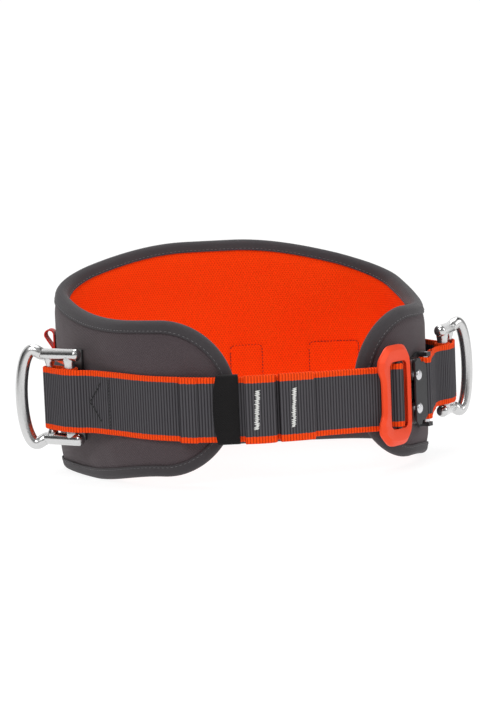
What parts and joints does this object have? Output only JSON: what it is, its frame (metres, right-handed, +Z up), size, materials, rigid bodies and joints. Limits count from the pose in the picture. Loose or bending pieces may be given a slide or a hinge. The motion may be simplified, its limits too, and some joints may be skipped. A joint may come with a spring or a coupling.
{
  "type": "work positioning belt",
  "caption": "Padded waist belt for tree work with a raised lumbar back, bent side D-rings and a front strap closed by a quick-release adjuster buckle.",
  "frame": {"origin": "on the ground under the middle of the closed belt", "axes": "+Z up, +X to the wearer's left, where the buckle is, -Y to the wearer's front"},
  "size_m": [0.3596, 0.2386, 0.1645],
  "materials": {
    "foam": "closed-cell foam",
    "outer_fabric": "matt woven",
    "spacer_mesh": "perforated spacer mesh",
    "binding_tape": "matt woven tape",
    "webbing": "ribbed webbing with orange edges",
    "red_ribbon": "woven ribbon",
    "black_plastic": "moulded",
    "forged_aluminium": "satin polished",
    "anodised_orange": "orange anodised",
    "steel": "satin",
    "dark_steel": "dark satin",
    "elastic": "woven elastic",
    "spring_wire": "bright"
  },
  "bodies": {
    "belt": {"pad_foam": "foam", "outer_shell": "outer_fabric", "mesh_lining": "spacer_mesh", "edge_binding": "binding_tape", "back_webbing": "webbing", "webbing_tunnels": "outer_fabric", "left_gear_loop": "red_ribbon", "right_gear_loop": "red_ribbon", "left_wear_plate": "black_plastic", "right_wear_plate": "black_plastic", "front_strap": "webbing", "right_tab": "webbing", "strap_tail": "webbing", "strap_pleats": "webbing", "strap_run": "webbing", "tail_run": "webbing", "buckle_back_plate": "dark_steel", "buckle_cover_plate": "dark_steel", "buckle_spacer": "black_plastic", "buckle_rivets": "steel", "anchor_bar": "steel", "anchor_webbing": "webbing", "upper_spring": "spring_wire", "lower_spring": "spring_wire"},
    "left_ring": {"left_d_ring": "forged_aluminium", "left_ring_fold": "webbing"},
    "right_ring": {"right_d_ring": "forged_aluminium", "right_ring_fold": "webbing"},
    "tongue": {"adjuster_frame": "anodised_orange", "tongue_plate": "steel"},
    "gripping_bar": {"friction_bar": "dark_steel", "strap_wrap": "webbing"},
    "upper_release": {"upper_lever": "steel"},
    "lower_release": {"lower_lever": "steel"},
    "keeper": {"elastic_keeper": "elastic"}
  },
  "joints": [
    {"name": "left_ring_swing", "type": "hinge", "parent": "belt", "child": "left_ring", "pos_m": [-0.1446, -0.0187, 0.0613], "axis": [0, 0, 1], "range_deg": [-9, 35]},
    {"name": "right_ring_swing", "type": "hinge", "parent": "belt", "child": "right_ring", "pos_m": [0.1446, -0.0187, 0.0613], "axis": [0, 0, -1], "range_deg": [-9, 35]},
    {"name": "tongue_release", "type": "slide", "parent": "belt", "child": "tongue", "axis": [-0.788, -0.6157, 0], "range_m": [0, 0.018], "deforming": ["strap_run", "tail_run"]},
    {"name": "grip_slide", "type": "slide", "parent": "tongue", "child": "gripping_bar", "axis": [0.788, 0.6157, 0], "range_m": [0, 0.002]},
    {"name": "upper_release_press", "type": "hinge", "parent": "belt", "child": "upper_release", "pos_m": [0.09207, -0.0881, 0.06704], "axis": [-0.6157, 0.788, 0], "range_deg": [0, 8], "stiffness_Nm_per_rad": 0.02, "springref_deg": -11.46, "deforming": ["upper_spring"]},
    {"name": "lower_release_press", "type": "hinge", "parent": "belt", "child": "lower_release", "pos_m": [0.09207, -0.0881, 0.04304], "axis": [0.6157, -0.788, 0], "range_deg": [0, 8], "stiffness_Nm_per_rad": 0.02, "springref_deg": -11.46, "deforming": ["lower_spring"]},
    {"name": "keeper_slide", "type": "slide", "parent": "belt", "child": "keeper", "axis": [-0.9677, 0.2522, 0], "range_m": [0, 0.0015]}
  ]
}
